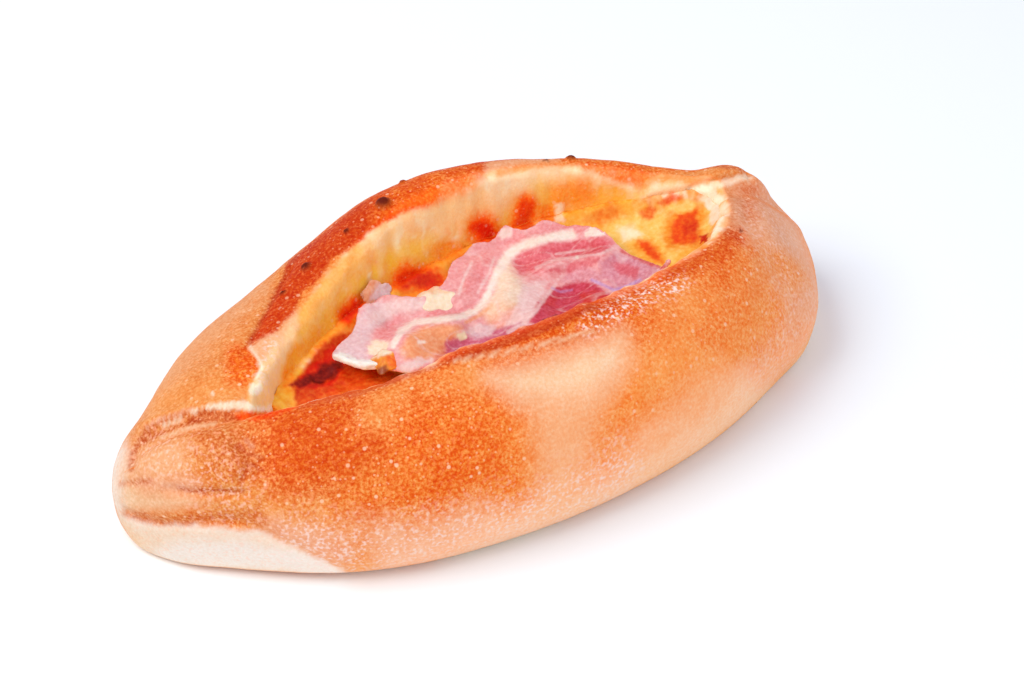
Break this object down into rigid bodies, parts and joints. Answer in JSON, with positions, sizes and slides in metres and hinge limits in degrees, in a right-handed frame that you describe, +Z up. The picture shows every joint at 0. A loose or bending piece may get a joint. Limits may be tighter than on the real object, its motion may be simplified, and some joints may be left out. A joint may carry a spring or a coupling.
{
  "type": "peinirli bread",
  "caption": "Open boat-shaped bread with pinched ends, melted cheese in its hollow, and a wavy slice of bacon with a few loose scraps of fat lying on the cheese, baked golden brown.",
  "frame": {"origin": "middle of the base, on the surface that the bread rests on", "axes": "+X along the boat, +Y across it towards its taller wall, +Z up"},
  "size_m": [0.23, 0.12, 0.0548],
  "materials": {
    "crust": "baked crust, matte to satin, mottled brown",
    "cheese": "melted cheese, satin, with browned spots",
    "bacon": "cooked bacon, moist, pink lean and pale fat"
  },
  "bodies": {
    "root": {"bread": "crust", "cheese": "cheese", "bacon": "bacon", "torn_scrap": "bacon", "folded_fat": "bacon", "browned_curl": "bacon"}
  },
  "joints": []
}
